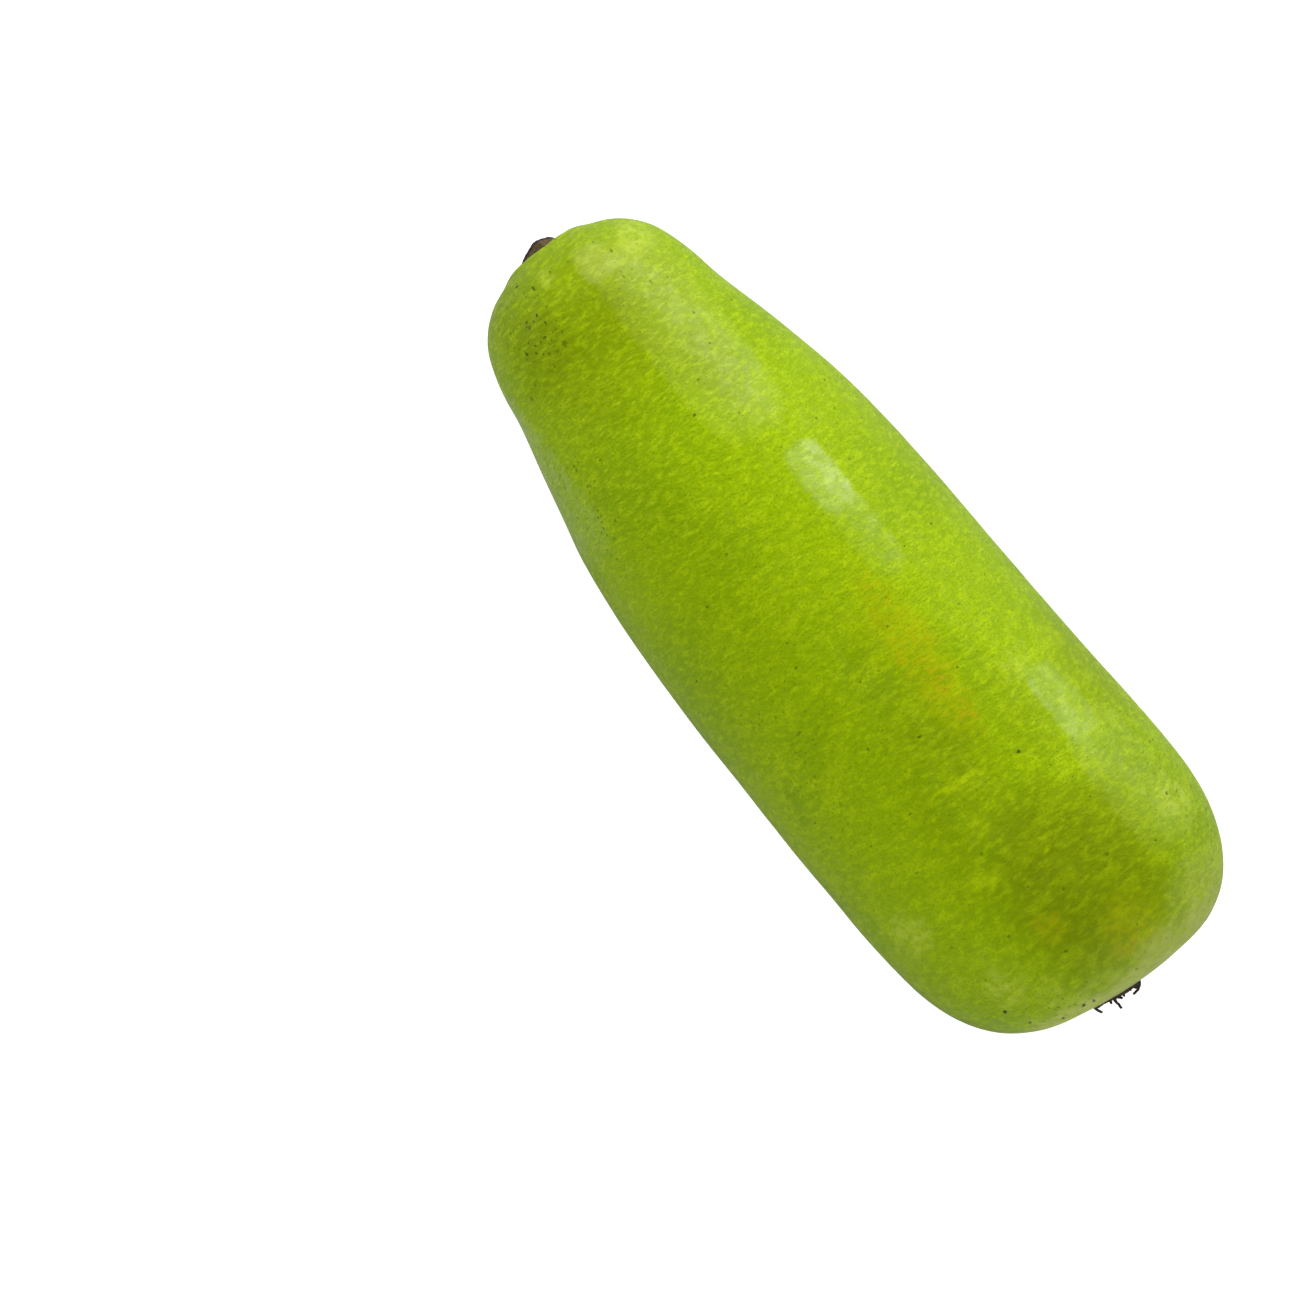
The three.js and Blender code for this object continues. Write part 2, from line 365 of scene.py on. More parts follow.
def new_tree(name, kind, inputs, outputs):
    """A node group with its sockets, as a Net, its inputs by name, and the node that takes its outputs."""
    tree = bpy.data.node_groups.new(name, kind)
    for socket_name, socket_kind, value in inputs:
        made = tree.interface.new_socket(socket_name, in_out="INPUT", socket_type=socket_kind)
        if value is not None:
            made.default_value = value
    for socket_name, socket_kind in outputs:
        tree.interface.new_socket(socket_name, in_out="OUTPUT", socket_type=socket_kind)
    net = Net(tree)
    source = net.node("NodeGroupInput")
    sink = net.node("NodeGroupOutput")
    given = {socket.name: Term(net, socket) for socket in source.outputs if socket.name}
    return net, given, sink


def use_group(net, group, **inputs):
    """Places a group in a net. Underscores in the names stand for spaces."""
    kind = "GeometryNodeGroup" if group.bl_idname == "GeometryNodeTree" else "ShaderNodeGroup"
    made = net.node(kind, node_tree=group)
    for name, value in inputs.items():
        net.plug(made.inputs[name.replace("_", " ")], value)
    return made


FLOAT = "NodeSocketFloat"
COUNT = "NodeSocketInt"
VECTOR = "NodeSocketVector"
GEOMETRY = "NodeSocketGeometry"
MATERIAL = "NodeSocketMaterial"


def curve_through(points, steps=8):
    """The smooth line through points that a uniform Catmull-Rom spline gives."""
    line = []
    last = len(points) - 1
    for i in range(last):
        before, start = points[max(i - 1, 0)], points[i]
        end, after = points[i + 1], points[min(i + 2, last)]
        for step in range(steps):
            t = step / steps
            line.append(tuple(
                0.5 * ((2 * b) + (c - a) * t + (2 * a - 5 * b + 4 * c - d) * t ** 2
                       + (3 * b - a - 3 * c + d) * t ** 3)
                for a, b, c, d in zip(before, start, end, after)
            ))
    line.append(points[-1])
    return line


def profile_object(name, points):
    """A profile as a curve object: x is the place along the axis and y is the radius, in millimetres."""
    data = bpy.data.curves.new(name, "CURVE")
    data.dimensions = "3D"
    spline = data.splines.new("POLY")
    spline.points.add(len(points) - 1)
    for point, (x, radius) in zip(spline.points, points):
        point.co = (x, max(radius, 0.0), 0.0, 1.0)
    made = bpy.data.objects.new(name, data)
    bpy.context.scene.collection.objects.link(made)
    return made


def turned_skin_group():
    """A grid to wrap round the axis, with each point's place on the profile and its angle.

    Crowding 1 spaces the rings evenly, and less than 1 crowds them towards the profile's start.
    """
    net, given, sink = new_tree(
        "Turned skin",
        "GeometryNodeTree",
        [("Profile", GEOMETRY, None), ("Rings", COUNT, 100), ("Segments", COUNT, 100),
         ("Crowding", FLOAT, 1.0)],
        [("Grid", GEOMETRY), ("Along", FLOAT), ("Radius", FLOAT), ("Angle", FLOAT)],
    )
    grid = net.node("GeometryNodeMeshGrid", {
        "Size X": 1.0, "Size Y": 1.0, "Vertices X": given["Rings"], "Vertices Y": given["Segments"] + 1,
    })
    across = net.split(net.term(net.node("GeometryNodeInputPosition")))
    row = across[0] + 0.5
    turn = across[1] + 0.5
    crowded = row * (given["Crowding"] + (1 - given["Crowding"]) * row)
    sample = net.node(
        "GeometryNodeSampleCurve", {"Curves": given["Profile"], "Factor": crowded},
        mode="FACTOR", use_all_curves=True,
    )
    place = net.split(net.term(sample, "Position"))
    net.plug(sink.inputs["Grid"], grid.outputs["Mesh"])
    net.plug(sink.inputs["Along"], place[0])
    net.plug(sink.inputs["Radius"], place[1])
    net.plug(sink.inputs["Angle"], turn * (2 * math.pi) - math.pi / 2)
    return net.tree


def placed_group():
    """The point of the frame at a distance from the fruit's centreline, at an angle round it."""
    net, given, sink = new_tree(
        "Place on the fruit",
        "GeometryNodeTree",
        [("Along", FLOAT, 0.0), ("Radius", FLOAT, 0.0), ("Angle", FLOAT, 0.0)],
        [("Position", VECTOR)],
    )
    along, radius, angle = given["Along"], given["Radius"], given["Angle"]
    share = net.math("MAXIMUM", along - DRIFT_FROM, 0) / DRIFT_LENGTH
    beyond = net.math("MAXIMUM", along - END_TURN_FROM, 0)
    drift = START_DRIFT + BELLY_DRIFT * share ** DRIFT_POWER - END_TURN * beyond * beyond
    steepest = DRIFT_POWER * BELLY_DRIFT / DRIFT_LENGTH
    heading = steepest * share ** (DRIFT_POWER - 1) - 2 * END_TURN * beyond
    across = radius * net.cos(angle)
    squash = net.ramp(radius, *FLATNESS_FADE, 1, FLATNESS)
    local = net.combine(
        along - across * heading,
        drift + across,
        LIE_SLOPE * along + radius * net.sin(angle) * squash,
    )
    net.plug(sink.inputs["Position"], net.vector("ADD", net.scaled(local, MM), tuple(ORIGIN)))
    return net.tree


def crease_group():
    """How deep one crease and the soft flute below it cut in at a point of the rind."""
    net, given, sink = new_tree(
        "Shoulder crease",
        "GeometryNodeTree",
        [("Along", FLOAT, 0.0), ("Radius", FLOAT, 0.0), ("Angle", FLOAT, 0.0),
         ("Crease Angle", FLOAT, 0.0), ("Depth", FLOAT, 3.0), ("Lean", FLOAT, 0.0)],
        [("Cut", FLOAT)],
    )
    along, radius, depth = given["Along"], given["Radius"], given["Depth"]
    line = net.math("RADIANS", given["Crease Angle"] + given["Lean"] * along)
    turn = net.math("WRAP", given["Angle"] - line, math.pi, -math.pi)
    distance = net.math("ABSOLUTE", turn) * radius
    reach = distance / VALLEY_WIDTH
    flare = turn / math.radians(FLUTE_TURN)
    on_shoulder = net.fade(along, *VALLEY_FADE) * net.ramp(radius, *LIP_REACH)
    on_neck = net.fade(along, *FLUTE_FADE) * net.ramp(radius, *FLUTE_REACH)
    sharp = net.exp(-distance / CREASE_WIDTH) * net.fade(radius, *CREASE_FADE)
    valley = net.exp(-(reach * reach))
    flute = net.exp(-(flare * flare))
    crease = on_shoulder * (CREASE_SHARPNESS * sharp + (1 - CREASE_SHARPNESS) * valley)
    net.plug(sink.inputs["Cut"], depth * crease + FLUTE_SHARE * depth * on_neck * flute)
    return net.tree


def finish_skin(net, geometry, position, material):
    """Puts the grid's points in place, closes the seam and the poles, and smooths the shading."""
    moved = net.node("GeometryNodeSetPosition", {"Geometry": geometry, "Position": position})
    welded = net.node("GeometryNodeMergeByDistance", {"Geometry": moved.outputs[0], "Distance": WELD * MM})
    smooth = net.node("GeometryNodeSetShadeSmooth", {"Geometry": welded.outputs[0]})
    realized = net.node("GeometryNodeRealizeInstances", {"Geometry": smooth.outputs[0]})
    return net.node("GeometryNodeSetMaterial", {"Geometry": realized.outputs[0], "Material": material})


def stored(net, geometry, name, value):
    """The geometry with a number stored at each point under a name, for its material."""
    inputs = {"Geometry": geometry, "Name": name, "Value": value}
    made = net.node("GeometryNodeStoreNamedAttribute", inputs, data_type="FLOAT", domain="POINT")
    return net.term(made)


def rind_tree(skin, placed, crease):
    net, given, sink = new_tree(
        "Gourd rind",
        "GeometryNodeTree",
        [("Geometry", GEOMETRY, None), ("Rings", COUNT, RIND_RINGS), ("Segments", COUNT, RIND_SEGMENTS),
         ("Lump Height", FLOAT, LUMP), ("Dent Height", FLOAT, DENT_HEIGHT),
         ("Ripple Height", FLOAT, RIPPLE_HEIGHT), ("Material", MATERIAL, None)],
        [("Geometry", GEOMETRY)],
    )
    surface = use_group(
        net, skin,
        Profile=given["Geometry"], Rings=given["Rings"], Segments=given["Segments"], Crowding=RIND_CROWDING,
    )
    along, radius, angle = (net.term(surface, name) for name in ("Along", "Radius", "Angle"))
    cut = 0.0
    for crease_angle, depth, lean in CREASES:
        one = use_group(
            net, crease,
            Along=along, Radius=radius, Angle=angle, Crease_Angle=float(crease_angle), Depth=depth, Lean=lean,
        )
        cut = net.term(one) + cut
    side_on = net.ramp(radius, *SIDE_ON_RADIUS_REACH) * net.ramp(along, *SIDE_ON_REACH)
    lumpy = net.ramp(along, *LUMP_REACH) * net.fade(along, *LUMP_FADE)
    lump = given["Lump Height"] * lumpy * net.sin(LUMP_TURNS * angle + along / LUMP_PITCH)
    sideways = net.math("ABSOLUTE", net.cos(angle)) ** SIDE_DROP_POWER
    on_face = net.ramp(radius, *LIP_REACH) * net.fade(radius, *SIDE_DROP_FADE)
    dropped = SIDE_DROP * sideways * on_face * net.fade(along, *SIDE_DROP_END_FADE)
    inset = along + cut * (1 - side_on) + dropped
    narrowed = radius - SIDE_ON_DEPTH * cut * side_on + lump
    at = net.term(use_group(net, placed, Along=inset, Radius=narrowed, Angle=angle))
    dents = given["Dent Height"] * net.relief(at, DENT_NOISE)
    ripples = given["Ripple Height"] * net.relief(at, RIPPLE_NOISE)
    swell = (dents + ripples) * net.ramp(radius, *SKIN_REACH) * MM
    outward = net.vector("NORMALIZE", net.combine(0.0, net.cos(angle), net.sin(angle)))
    bumped = net.split(net.vector("ADD", at, net.scaled(outward, swell)))
    rested = net.combine(bumped[0], bumped[1], net.math("MAXIMUM", bumped[2], 0.0))
    grid = net.term(surface, "Grid")
    for name, value in (("along", along), ("turn", angle), ("cut", cut)):
        grid = stored(net, grid, name, value)
    done = finish_skin(net, grid, rested, given["Material"])
    net.plug(sink.inputs["Geometry"], done.outputs[0])
    return net.tree


def stub_tree(skin, placed):
    net, given, sink = new_tree(
        "Stem stub",
        "GeometryNodeTree",
        [("Geometry", GEOMETRY, None), ("Rings", COUNT, STUB_RINGS), ("Segments", COUNT, STUB_SEGMENTS),
         ("Rib Height", FLOAT, STUB_RIB_HEIGHT), ("Callus Height", FLOAT, CALLUS_HEIGHT),
         ("Grain Height", FLOAT, GRAIN_HEIGHT), ("Material", MATERIAL, None)],
        [("Geometry", GEOMETRY)],
    )
    surface = use_group(
        net, skin,
        Profile=given["Geometry"], Rings=given["Rings"], Segments=given["Segments"],
    )
    along, radius, angle = (net.term(surface, name) for name in ("Along", "Radius", "Angle"))
    above = net.fade(along, *STUB_FREE_FADE)
    wave = net.cos(STUB_RIBS * angle + STUB_RIB_START)
    rib = given["Rib Height"] * above * radius / STUB_CUT_RADIUS * wave
    flat_at = net.combine(along, radius * net.cos(angle), radius * net.sin(angle))
    face = net.fade(along, *CUT_FACE_FADE)
    callus = given["Callus Height"] * face * net.relief(flat_at, CALLUS_NOISE, CALLUS_DISTORTION)
    grain = given["Grain Height"] * net.relief(net.vector("MULTIPLY", flat_at, GRAIN_STRETCH), GRAIN_NOISE)
    ragged = RAGGED_EDGE * net.relief(flat_at, RAGGED_EDGE_NOISE) * face
    past_ridge = radius * net.cos(angle) - CUT_RIDGE
    near_slope = CUT_SLOPE * (-past_ridge - CUT_CREST)
    far_slope = CUT_FAR_SLOPE * (past_ridge - CUT_CREST)
    either = net.math("MAXIMUM", net.math("MAXIMUM", near_slope, far_slope), 0.0)
    sloped = either * net.fade(along, *CUT_SLOPE_FADE)
    side = (grain + ragged) * above
    point = use_group(net, placed, Along=along + callus + sloped, Radius=radius + rib + side, Angle=angle)
    free = net.math("MAXIMUM", STUB_FREE_FADE[1] - along, 0) * MM
    lean = net.combine(0.0, STUB_LEAN[0] * free, STUB_LEAN[1] * free)
    grid = net.term(surface, "Grid")
    for name, value in (("along", along), ("radius", radius)):
        grid = stored(net, grid, name, value)
    done = finish_skin(net, grid, net.vector("ADD", net.term(point), lean), given["Material"])
    net.plug(sink.inputs["Geometry"], done.outputs[0])
    return net.tree


def thread_group():
    """One withered thread: a tapered rod along Z, bent along an arc and a little wavy, from its root on."""
    net, given, sink = new_tree(
        "Withered thread",
        "GeometryNodeTree",
        [("Length", FLOAT, 3.0), ("Curl", FLOAT, 1.0), ("Heading", FLOAT, 0.0), ("Root", VECTOR, None),
         ("Waviness", FLOAT, THREAD_WAVINESS)],
        [("Thread", GEOMETRY)],
    )
    line = net.node("GeometryNodeCurvePrimitiveLine", {"Start": (0.0, 0.0, 0.0), "End": (0.0, 0.0, 1.0)})
    fine = net.node("GeometryNodeResampleCurve", {"Curve": line.outputs[0], "Count": THREAD_POINTS})
    share = net.term(net.node("GeometryNodeSplineParameter"), "Factor")
    turn = share * given["Curl"]
    arm = given["Length"] / given["Curl"]
    sideways = arm * (1 - net.cos(turn))
    heading = given["Heading"]
    bent = net.combine(sideways * net.cos(heading), sideways * net.sin(heading), arm * net.sin(turn))
    rooted = net.vector("ADD", bent, given["Root"])
    # The noise is weak, so it is taken four times to reach the waviness in millimetres
    sway = net.scaled(net.stray(rooted, THREAD_WAVES, 1.0), given["Waviness"] * share * 4)
    wavy = net.vector("ADD", rooted, sway)
    laid = net.node("GeometryNodeSetPosition", {"Geometry": fine.outputs[0], "Position": wavy})
    ring = net.node("GeometryNodeCurvePrimitiveCircle", {"Resolution": THREAD_SIDES, "Radius": 1.0})
    thinned = net.ramp(share, *THREAD_TAPER_REACH)
    width = THREAD_ROOT_RADIUS + (THREAD_TIP_RADIUS - THREAD_ROOT_RADIUS) * thinned
    tube = net.node("GeometryNodeCurveToMesh", {
        "Curve": laid.outputs[0], "Profile Curve": ring.outputs[0], "Fill Caps": True, "Scale": width,
    })
    net.plug(sink.inputs["Thread"], tube.outputs[0])
    return net.tree


def scar_tree(skin, thread):
    net, given, sink = new_tree(
        "Blossom scar",
        "GeometryNodeTree",
        [("Geometry", GEOMETRY, None), ("Rings", COUNT, SCAR_RINGS), ("Segments", COUNT, SCAR_SEGMENTS),
         ("Ragged Height", FLOAT, SCAR_HEIGHT), ("Waviness", FLOAT, THREAD_WAVINESS),
         ("Material", MATERIAL, None)],
        [("Geometry", GEOMETRY)],
    )
    surface = use_group(
        net, skin,
        Profile=given["Geometry"], Rings=given["Rings"], Segments=given["Segments"],
    )
    height, radius, angle = (net.term(surface, name) for name in ("Along", "Radius", "Angle"))
    flat_at = net.combine(radius * net.cos(angle), radius * net.sin(angle), height)
    above = net.ramp(height, *SCAR_REACH)
    wide = radius * (1 + SCAR_OUTLINE * above * net.relief(flat_at, SCAR_OUTLINE_NOISE))
    high = height + given["Ragged Height"] * above * net.relief(flat_at, SCAR_NOISE)
    raised = net.combine(wide * net.cos(angle), wide * net.sin(angle), high)
    disc = net.node("GeometryNodeSetPosition", {"Geometry": net.term(surface, "Grid"), "Position": raised})
    welded = net.node("GeometryNodeMergeByDistance", {"Geometry": disc.outputs[0], "Distance": WELD})
    joined = net.node("GeometryNodeJoinGeometry")
    net.plug(joined.inputs[0], welded.outputs[0])
    for side, up, length, curl, heading in THREADS:
        one = use_group(
            net, thread,
            Length=length, Curl=curl * 2 * math.pi, Heading=math.radians(heading),
            Root=(side, up, THREAD_ROOT_LEVEL), Waviness=given["Waviness"],
        )
        net.plug(joined.inputs[0], one.outputs[0])
    outward = direction(SCAR_TURN, SCAR_LIFT)
    side = Vector((0, 0, 1)).cross(outward).normalized()
    up = outward.cross(side)
    turn = Matrix((side, up, outward)).transposed().to_euler()
    x, y, above_line = SCAR_PLACE
    seat = ORIGIN + Vector((x, y, LIE_SLOPE * x + above_line)) * MM
    put = net.node("GeometryNodeTransform", {
        "Geometry": joined.outputs[0],
        "Translation": tuple(seat),
        "Rotation": tuple(turn),
        "Scale": (MM, MM, MM),
    })
    smooth = net.node("GeometryNodeSetShadeSmooth", {"Geometry": put.outputs[0]})
    realized = net.node("GeometryNodeRealizeInstances", {"Geometry": smooth.outputs[0]})
    painted = {"Geometry": realized.outputs[0], "Material": given["Material"]}
    done = net.node("GeometryNodeSetMaterial", painted)
    net.plug(sink.inputs["Geometry"], done.outputs[0])
    return net.tree


def set_inputs(modifier, **values):
    """Sets a Geometry Nodes modifier's inputs by their sockets' identifiers. Underscores stand for spaces."""
    sockets = {
        item.name: item.identifier
        for item in modifier.node_group.interface.items_tree
        if item.item_type == "SOCKET" and item.in_out == "INPUT"
    }
    for name, value in values.items():
        modifier[sockets[name.replace("_", " ")]] = value


def grown(name, source, tree, slot, replaced, **inputs):
    """Runs a Geometry Nodes tree on a source object and keeps the result as a plain mesh piece."""
    modifier = source.modifiers.new("Form", "NODES")
    modifier.node_group = tree
    set_inputs(modifier, **inputs)
    graph = bpy.context.evaluated_depsgraph_get()
    result = source.evaluated_get(graph)
    mesh = bpy.data.meshes.new_from_object(result, preserve_all_data_layers=True, depsgraph=graph)
    mesh.name = name
    source.modifiers.remove(modifier)
    piece = bpy.data.objects.new(name, mesh)
    bpy.context.scene.collection.objects.link(piece)
    bpy.data.objects.remove(source)
    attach(piece, "root")
    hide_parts(replaced)


def new_material(name):
    material = bpy.data.materials.new(name)
    material.use_nodes = True
    material.node_tree.nodes.clear()
    net = Net(material.node_tree)
    shader = net.node("ShaderNodeBsdfPrincipled")
    out = net.node("ShaderNodeOutputMaterial")
    net.plug(out.inputs["Surface"], shader.outputs[0])
    return material, net, shader


def soft_blotches_group():
    """Blotches drawn out round the fruit: 1 inside them, 0 between them."""
    net, given, sink = new_tree(
        "Soft blotches",
        "ShaderNodeTree",
        [("Place", VECTOR, None), ("Size", FLOAT, 4.0), ("Stretch", FLOAT, 1.0), ("Detail", FLOAT, 2.0),
         ("Low", FLOAT, 0.45), ("High", FLOAT, 0.6)],
        [("Mask", FLOAT)],
    )
    round_it = 1 / given["Stretch"]
    drawn = net.vector("MULTIPLY", given["Place"], net.combine(1.0, round_it, round_it))
    cloud = net.noise(drawn, 1 / given["Size"], given["Detail"], 0.55)
    net.plug(sink.inputs["Mask"], net.ramp(cloud, given["Low"], given["High"]))
    return net.tree


def specks_group():
    """Small irregular specks on the unrolled surface, one in a share of the cells."""
    net, given, sink = new_tree(
        "Specks",
        "ShaderNodeTree",
        [("Place", VECTOR, None), ("Spacing", FLOAT, 4.0), ("Radius", FLOAT, 0.4), ("Share", FLOAT, 0.3)],
        [("Mask", FLOAT)],
    )
    place, spacing, radius = given["Place"], given["Spacing"], given["Radius"]
    ragged = net.scaled(net.stray(place, 1.3, 2.0), 2.2 * radius)
    cells = net.node(
        "ShaderNodeTexVoronoi", {"Vector": net.vector("ADD", place, ragged), "Scale": 1 / spacing},
        voronoi_dimensions="2D",
    )
    picked, sized, shaded = net.split(net.term(cells, "Color"))
    chosen = net.math("LESS_THAN", picked, given["Share"])
    reach = net.term(cells, "Distance") * spacing / (radius * (0.35 + sized))
    net.plug(sink.inputs["Mask"], chosen * net.fade(reach, 0.5, 1.2) * (0.4 + 0.6 * shaded))
    return net.tree


# Clouds of noise on the surface: size in millimetres, how far they are drawn out round the fruit,
# the noise at which they start and at which they are full, and the detail
CLOUDS = {
    "green areas": (34.0, 1.0, 0.45, 0.65, 2.0),
    "lime patches": (5.5, 2.0, 0.50, 0.70, 3.0),
    "lime flecks": (1.5, 2.2, 0.43, 0.71, 3.0),
    "deep flecks": (2.6, 1.4, 0.55, 0.75, 2.0),
    "pale streaks": (0.8, 3.8, 0.51, 0.74, 2.0),
    "fine grain": (0.55, 1.4, 0.38, 0.68, 2.0),
    "freckles": (1.5, 1.6, 0.4, 0.62, 2.0),
    "in lime marks": (1.6, 2.6, 0.3, 0.7, 3.0),
    "in pale zones": (2.2, 1.2, 0.3, 0.7, 3.0),
    # The bloom clouds also shape the painted reflection at the blossom end
    "in bloom and reflection": (2.2, 1.2, 0.35, 0.65, 3.0),
    "edge of bloom and reflection": (9.0, 1.0, 0.3, 0.7, 2.0),
    "broken wax": (3.2, 1.0, 0.42, 0.6, 3.0),
    "fine relief": (0.8, 2.5, 0.3, 0.7, 3.0),
    "soft relief": (2.2, 1.6, 0.3, 0.7, 2.0),
    "pale stem": (1.6, 1.0, 0.4, 0.65, 3.0),
    "edge of brown": (2.0, 1.0, 0.3, 0.7, 3.0),
    "cut face": (1.1, 1.0, 0.42, 0.6, 3.0),
    "stem fibres": (0.5, 1.0, 0.42, 0.6, 3.0),
    "stem relief": (0.7, 1.0, 0.3, 0.7, 3.0),
    "dry flecks": (0.9, 1.0, 0.4, 0.62, 3.0),
    "dry patches": (3.2, 1.0, 0.42, 0.62, 3.0),
}


def cloud(net, blotches, place, name):
    """One of the clouds as a mask over the surface."""
    size, stretch, low, high, detail = CLOUDS[name]
    return net.term(use_group(
        net, blotches,
        Place=place, Size=size, Stretch=stretch, Low=low, High=high, Detail=detail,
    ))


RIND_DEEP = (0.165, 0.285, 0.0008, 1)
RIND_GROUND = (0.245, 0.38, 0.0008, 1)
RIND_SHADE = (0.15, 0.21, 0.0008, 1)
RIND_LIME = (0.40, 0.55, 0.002, 1)
RIND_STREAK = (0.44, 0.60, 0.012, 1)
RIND_YELLOW = (0.36, 0.37, 0.0012, 1)
RIND_RUST = (0.38, 0.30, 0.004, 1)
RIND_BRIGHT = (0.47, 0.60, 0.002, 1)
RIND_CHALK_AND_HIGHLIGHT = (0.46, 0.57, 0.06, 1)
# Pale bloom, also used for painted reflections
RIND_BLOOM_AND_REFLECTION = (0.46, 0.50, 0.11, 1)
# The pale colour of the painted highlights
RIND_PAINTED_HIGHLIGHT = (0.52, 0.62, 0.09, 1)
RIND_BROWN = (0.10, 0.10, 0.003, 1)
RIND_SPECK = (0.025, 0.035, 0.003, 1)
# The dark colour of the painted shade in the creases
RIND_CREASE_SHADE = (0.05, 0.10, 0.004, 1)

# Markings on the upper side: x, y, half length, half width and strength
YELLOW_ZONES = [
    (150, 13, 34, 9, 0.6),
    (241, 14, 12, 11, 0.45),
    (229, -4, 6, 5, 0.4),
]

# Rusty freckles in them
RUST_ZONES = [
    (157, 13, 7, 3, 0.5),
    (169, 14, 5, 4, 0.4),
    (146, 8, 4, 3, 0.4),
    (128, 15, 8, 3, 0.3),
    (245, 9, 4, 5, 0.35),
    (227, -3, 4, 4, 0.15),
]

# Bright lime marks drawn out round the fruit
LIME_MARKS = [
    (184, 3, 2.8, 7, 0.7),
    (183, -6, 2.8, 5, 0.6),
    (209, 9, 2.6, 5, 0.55),
    (208, -10, 2.6, 8, 0.5),
    (196, -2, 2.4, 4, 0.4),
    (146, 1, 2.6, 5, 0.4),
    (123, -10, 2.4, 6, 0.35),
]

# Chalky pale ones; the two at (9, -3) and (168, 33) are painted highlights
PALE_MARK_AND_HIGHLIGHT_ZONES = [
    (209, -34, 8, 6, 0.65),
    (223, 44, 10, 6, 0.5),
    (235, -23, 8, 6, 0.55),
    (243, -14, 6, 5, 0.35),
    (254, -13, 6, 12, 0.5),
    (9, -3, 4, 4, 0.45),
    (168, 33, 6, 6, 0.3),
    (14, 23, 8, 6, 0.5),
]

# Painted highlight: pale colour painted into the rind where the highlights fall on the neck and belly
PAINTED_HIGHLIGHT_ZONES = [
    (42, 17, 37, 13, 0.15),
    (13, 10, 6, 6, 0.06),
    (96, 22.5, 11, 6, 0.1),
    (210, 38, 24, 10, 0.08),
]

# Crowded dark specks
SPECK_ZONES = [
    (15, -15, 18, 13, 1),
    (24, 12, 12, 9, 0.6),
    (250, -15, 8, 17, 1),
    (62, -33, 30, 8, 1),
    (150, -28, 40, 14, 0.5),
    (215, 48, 50, 8, 0.6),
]

# Single dark spots
DARK_SPOTS = [
    (4.5, -11, 0.45, 0.8, 0.9),
    (7.3, -1.5, 0.7, 0.45, 0.6),
    (8.1, -7.8, 0.9, 0.45, 0.8),
    (14.4, -15.0, 0.5, 0.4, 0.8),
    (16.0, -15.3, 0.7, 0.5, 0.7),
    (20.7, -13.7, 0.4, 0.7, 0.7),
    (25.3, -10.3, 1.0, 0.8, 0.5),
    (21.0, -20.2, 0.9, 0.5, 0.8),
    (25.0, -15.3, 0.7, 0.7, 0.4),
    (31.4, -26.5, 0.9, 0.5, 0.5),
    (13.0, 15.1, 0.9, 0.5, 0.6),
    (26.4, 18.3, 0.8, 0.5, 0.4),
    (40.0, 22.4, 0.6, 0.4, 0.6),
    (252.9, -6.1, 0.7, 0.5, 0.9),
    (252.3, -9.0, 0.6, 0.8, 1.0),
    (252.2, -15.4, 0.5, 0.6, 0.9),
    (247.7, -23.2, 0.5, 0.6, 0.9),
    (240.7, -26.9, 0.7, 0.7, 1.0),
    (252.8, 8.1, 0.4, 0.4, 0.7),
]

# Pale bloom and painted reflections: the two near the stem end are painted reflections, the two at the
# blossom end partly bloom and partly a painted reflection of its pale rim
BLOOM_AND_REFLECTION_ZONES = [
    (248, 37, 14, 15, 0.3),
    (252, 22, 7, 14, 0.3),
    (12, 9, 8, 6, 0.3),
    (17, 17, 7, 6, 0.15),
]

# Darker green
SHADE_ZONES = [
    (224, 12, 34, 26, 0.72),
    (205, 0, 60, 24, 0.25),
    (226, 34, 36, 22, 0.25),
    (16, -8, 46, 26, 0.45),
    (28, 14, 40, 18, 0.35),
    (58, 19, 20, 9, 0.25),
    (21, -14, 12, 9, 0.25),
    (155, 5, 36, 13, 0.2),
    (180, 26, 22, 10, 0.2),
    (182, 47, 26, 9, 0.3),
]

# Where its wax is smoother and shines
SHINY_ZONES = [
    (42, 17, 37, 13, 0.32),
    (12, 10, 6, 6, 0.45),
    (96, 21.5, 12, 6.2, 0.85),
    (113, 22, 18, 6, 0.3),
    (183, 36.5, 13, 6, 0.9),
    (212, 38, 24, 10, 0.45),
    (46, -38, 34, 8, 0.9),
]

# Where markings start or stop: by height above the table, then along x
UPPER_REACH = (34, 48)
NECK_FADE = (60, 150)
BELLY_REACH = (90, 190)
SIDE_FADE = (249, 256)
BLOOM_AND_REFLECTION_REACH = (249, 260)

# Darker brown low on one side of the blossom end: up from the centreline's level, across and along
LOW_BROWN_UP_FADE = (8, 22)
LOW_BROWN_ACROSS_FADE = (-26, -10)
LOW_BROWN_REACH = (205, 238)

# Painted shade: the creases are darker where they are this deep
CREASE_SHADE_REACH = (0.8, 3.2)
CREASE_SHADE_FADE = (0, 14)

# Specks: spacing, radius and the share of cells that has one. They are a little narrower along the fruit.
PORES = (1.4, 0.2, 0.5)
SPARSE_SPECKS = (9.0, 0.5, 0.25)
CROWDED_SPECKS = (2.2, 0.5, 0.5)
SPECK_SQUEEZE = 1.3


